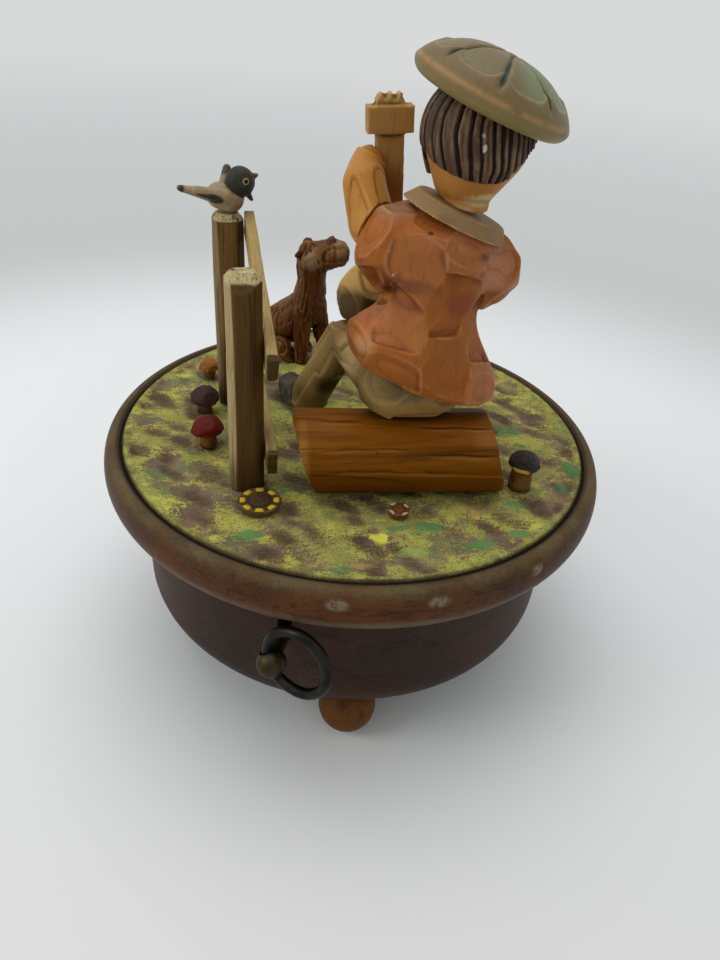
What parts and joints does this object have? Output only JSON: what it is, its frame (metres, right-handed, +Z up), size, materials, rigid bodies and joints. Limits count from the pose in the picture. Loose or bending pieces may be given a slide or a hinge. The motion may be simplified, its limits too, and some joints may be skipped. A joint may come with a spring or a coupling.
{
  "type": "figural music box",
  "caption": "Wind-up music box: a carved figure with lute, dog, bird and fence on a turning round platform over a turned bowl.",
  "frame": {"origin": "on the platform's turning axis, in the plane of the table under the three ball feet", "axes": "+Z up along the platform's turning axis, -Y along the pull rod out of the bowl, +X to the right of it"},
  "size_m": [0.1402, 0.145, 0.1679],
  "materials": {
    "dark_stained_wood": "satin stain",
    "rim_stained_wood": "worn satin stain",
    "beech": "bare, waxed",
    "log_wood": "stained, satin",
    "fence_wood": "bare, weathered",
    "orange_paint": "painted, carved facets",
    "taupe_paint": "painted, carved facets",
    "sole_paint": "painted",
    "skin_wood": "bare limewood, toned",
    "hair_paint": "painted, carved strands",
    "olive_paint": "painted, worn",
    "lute_wood": "toned, waxed",
    "dog_wood": "toned, carved fur",
    "bird_paint": "painted",
    "red_paint": "gloss painted",
    "plum_paint": "gloss painted",
    "amber_paint": "painted",
    "slate_paint": "painted",
    "yellow_paint": "painted",
    "brass": "turned",
    "worn_brass": "tarnished",
    "pewter_steel": "dark, worn",
    "steel": "bright",
    "spring_steel": "blued",
    "plated_bedplate": "plated casting"
  },
  "bodies": {
    "base": {"bowl": "dark_stained_wood", "ball_foot_1": "beech", "ball_foot_2": "beech", "ball_foot_3": "beech", "movement_screws": "steel", "bedplate": "plated_bedplate", "thrust_washer": "brass", "click_spring": "spring_steel", "music_comb": "steel", "comb_screws": "steel", "inner_bracket": "brass", "outer_bracket": "brass", "governor_frame": "brass", "barrel_bridge": "brass", "bridge_screws": "steel", "rod_guide": "beech"},
    "turntable": {"platform": "rim_stained_wood", "platform_bush": "brass", "spindle": "steel", "spring_barrel": "brass", "barrel_cover": "brass", "mainspring": "spring_steel", "log": "log_wood", "trousers": "taupe_paint", "jacket": "orange_paint", "left_shoe": "sole_paint", "right_shoe": "sole_paint", "left_arm": "orange_paint", "right_hand": "skin_wood", "collar": "taupe_paint", "head": "skin_wood", "hair": "hair_paint", "beret": "olive_paint", "lute_body": "lute_wood", "lute_neck": "lute_wood", "near_post": "fence_wood", "far_post": "fence_wood", "upper_rail": "fence_wood", "lower_rail": "fence_wood", "bird": "bird_paint", "dog": "dog_wood", "red_mushroom": "red_paint", "plum_mushroom": "plum_paint", "tan_mushroom": "amber_paint", "dark_mushroom": "slate_paint", "large_flower": "yellow_paint", "small_flower": "yellow_paint"},
    "winding": {"winding_arbor": "steel", "winding_key": "pewter_steel"},
    "cylinder": {"music_cylinder": "brass", "cylinder_shaft": "steel", "cylinder_pinion": "brass", "great_wheel": "brass"},
    "governor_wheel": {"governor_pinion": "steel", "worm_wheel": "brass"},
    "fan": {"governor_worm": "steel", "air_brake": "brass"},
    "pull_rod": {"pull_rod": "worn_brass", "pull_knob": "worn_brass"},
    "ring": {"pull_ring": "pewter_steel"}
  },
  "joints": [
    {"name": "turntable_spin", "type": "hinge", "parent": "base", "child": "turntable", "pos_m": [0, 0, 0.0623], "axis": [0, 0, 1], "continuous": true},
    {"name": "key_winding", "type": "hinge", "parent": "base", "child": "winding", "pos_m": [0, 0, 0.022], "axis": [0, 0, 1], "continuous": true},
    {"name": "cylinder_spin", "type": "hinge", "parent": "base", "child": "cylinder", "pos_m": [0.00798, -0.01569, 0.03446], "axis": [0.4533, -0.8914, 0], "continuous": true},
    {"name": "governor_wheel_spin", "type": "hinge", "parent": "base", "child": "governor_wheel", "pos_m": [0.0049, -0.03677, 0.03446], "axis": [0.4533, -0.8914, 0], "continuous": true},
    {"name": "fan_spin", "type": "hinge", "parent": "base", "child": "fan", "pos_m": [0, -0.03927, 0.04], "axis": [0, 0, 1], "continuous": true},
    {"name": "rod_pull", "type": "slide", "parent": "base", "child": "pull_rod", "axis": [0, -1, 0], "range_m": [0, 0.005]},
    {"name": "ring_swing", "type": "hinge", "parent": "pull_rod", "child": "ring", "pos_m": [0, -0.0695, 0.0435], "axis": [-0.4515, 0.2504, 0.8564], "range_deg": [-138, 15]}
  ],
  "couplings": [
    {"joint": "cylinder_spin", "follows": "turntable_spin", "ratio": 2.25},
    {"joint": "governor_wheel_spin", "follows": "turntable_spin", "ratio": -9},
    {"joint": "fan_spin", "follows": "turntable_spin", "ratio": -144}
  ]
}
